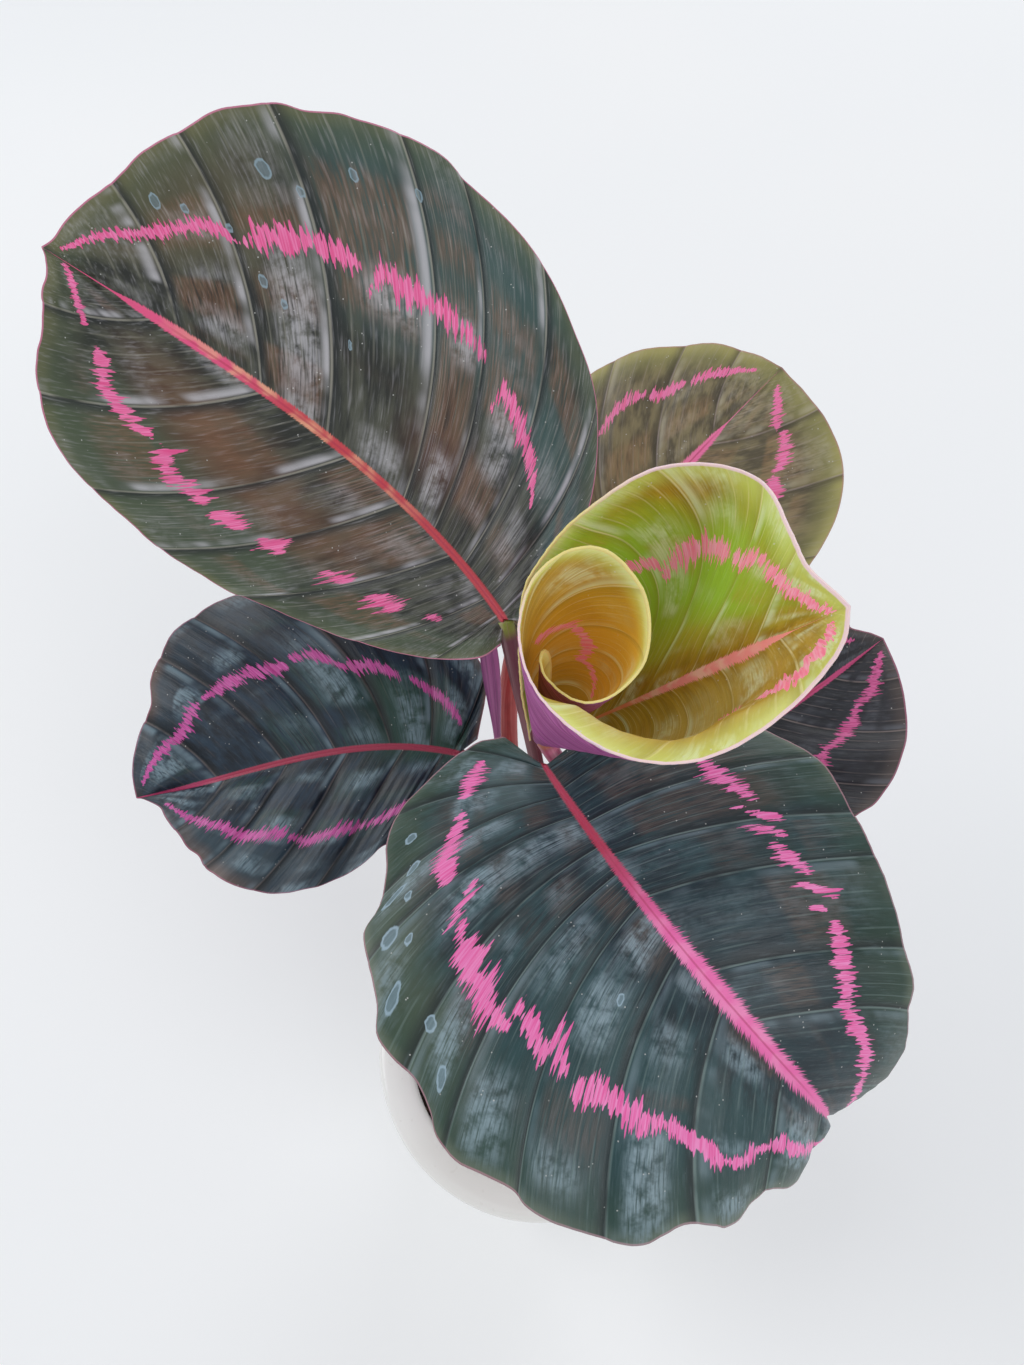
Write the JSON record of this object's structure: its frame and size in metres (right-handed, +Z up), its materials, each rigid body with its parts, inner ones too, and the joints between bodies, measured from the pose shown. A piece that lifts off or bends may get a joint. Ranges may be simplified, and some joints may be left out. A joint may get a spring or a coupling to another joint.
{
  "type": "potted foliage plant",
  "caption": "Potted calathea with round patterned leaves fanned out on slender stalks, a half rolled young leaf, an unopened spear and a plain tapered pot filled with soil.",
  "frame": {"origin": "middle of the flat underside of the pot", "axes": "+Z up along the pot's axis, -Y towards the front, where the lowest and nearest leaf arches over the rim, and -X towards the side of the largest leaf"},
  "size_m": [0.2565, 0.2683, 0.3558],
  "materials": {
    "open_leaf": "satin",
    "young_leaf": "satin",
    "stalk": "satin",
    "spear": "satin",
    "pot_glaze": "gloss",
    "potting_soil": "matte"
  },
  "bodies": {
    "root": {"blade_a": "open_leaf", "blade_b": "open_leaf", "blade_c": "open_leaf", "blade_d": "open_leaf", "blade_e": "open_leaf", "blade_f": "young_leaf", "stalk_a": "stalk", "stalk_b": "stalk", "stalk_c": "stalk", "stalk_d": "stalk", "stalk_e": "stalk", "stalk_f": "stalk", "spear": "spear", "pot": "pot_glaze", "soil": "potting_soil"}
  },
  "joints": []
}
